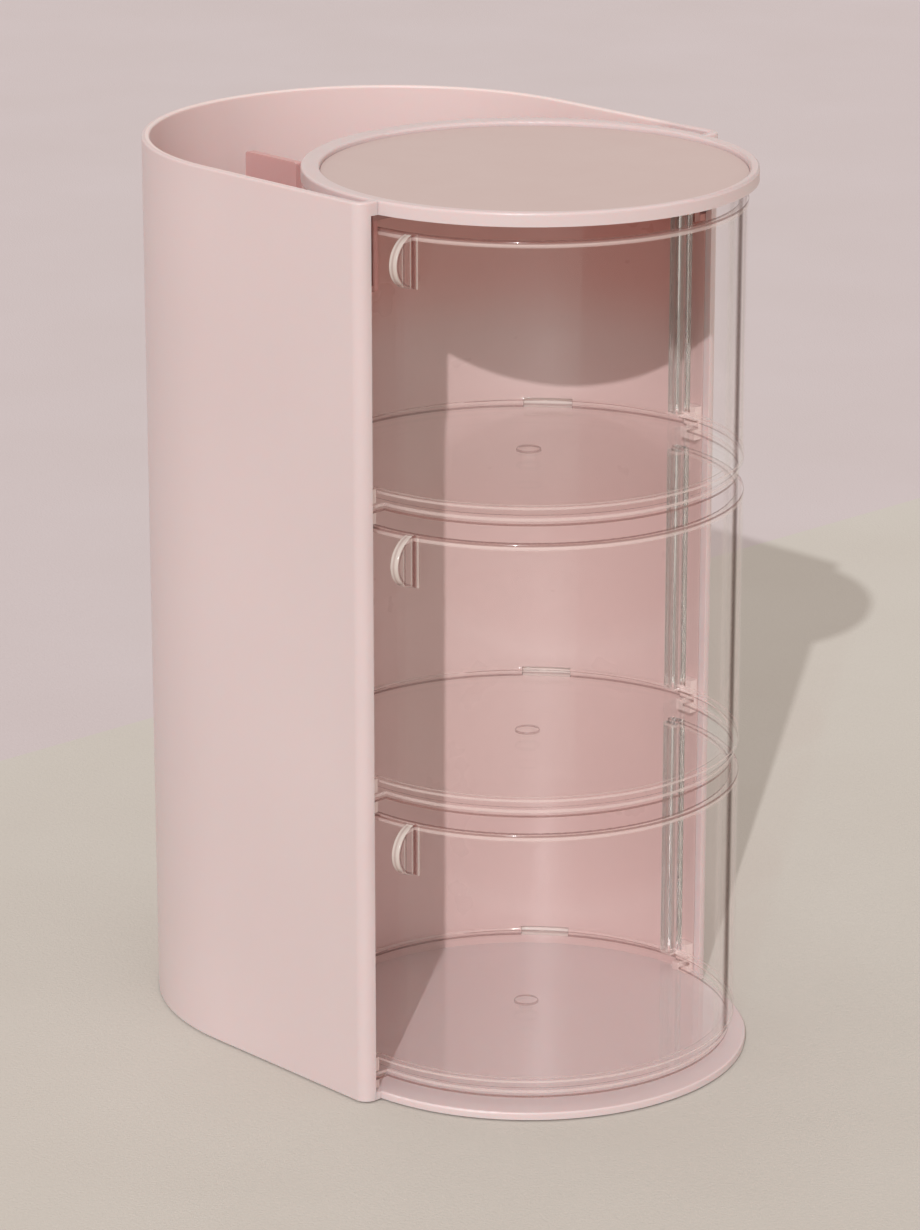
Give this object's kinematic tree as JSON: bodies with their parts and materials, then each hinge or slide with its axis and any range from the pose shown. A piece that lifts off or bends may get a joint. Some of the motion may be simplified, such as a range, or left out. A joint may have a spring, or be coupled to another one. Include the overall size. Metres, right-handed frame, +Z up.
{
  "type": "rotating hair accessory organizer",
  "caption": "Upright organizer: clear round trays, each with a half-round wall, turn one above another in a U-shaped pink shell under a round lid, with a headband bay behind.",
  "frame": {"origin": "centre of the bounding box at the ground, on the left-right symmetry plane of the shell", "axes": "+Z up, -Y towards the open front with the trays, +X to the right seen from the front"},
  "size_m": [0.1552, 0.2144, 0.289],
  "materials": {
    "pink_plastic": "satin gloss",
    "pink_satin": "satin",
    "clear_plastic": "clear, polished",
    "zinc_steel": "zinc-plated",
    "rubber": "matte"
  },
  "bodies": {
    "housing": {"outer_shell": "pink_plastic", "base_plate": "pink_plastic", "partition_wall": "pink_plastic", "top_lid": "pink_plastic", "lid_inlay": "pink_satin", "headband_hanger": "pink_plastic", "shelf_clips_left": "pink_plastic", "shelf_clips_right": "pink_plastic", "lid_screws": "zinc_steel", "base_screws": "zinc_steel", "hanger_screws": "zinc_steel", "rubber_feet": "rubber", "shelf_bottom": "clear_plastic", "pivot_pin_bottom": "clear_plastic", "glide_washer_bottom": "clear_plastic", "pin_retainer_bottom": "clear_plastic", "shelf_middle": "clear_plastic", "pivot_pin_middle": "clear_plastic", "glide_washer_middle": "clear_plastic", "pin_retainer_middle": "clear_plastic", "shelf_top": "clear_plastic", "pivot_pin_top": "clear_plastic", "glide_washer_top": "clear_plastic", "pin_retainer_top": "clear_plastic"},
    "bottom_tray": {"tray_bottom": "clear_plastic"},
    "middle_tray": {"tray_middle": "clear_plastic"},
    "top_tray": {"tray_top": "clear_plastic"}
  },
  "joints": [
    {"name": "bottom_tray_turn", "type": "hinge", "parent": "housing", "child": "bottom_tray", "pos_m": [0, -0.03595, 0], "axis": [0, 0, 1], "range_deg": [-6, 158]},
    {"name": "middle_tray_turn", "type": "hinge", "parent": "housing", "child": "middle_tray", "pos_m": [0, -0.03595, 0], "axis": [0, 0, 1], "range_deg": [-6, 158]},
    {"name": "top_tray_turn", "type": "hinge", "parent": "housing", "child": "top_tray", "pos_m": [0, -0.03595, 0], "axis": [0, 0, 1], "range_deg": [-6, 158]}
  ]
}
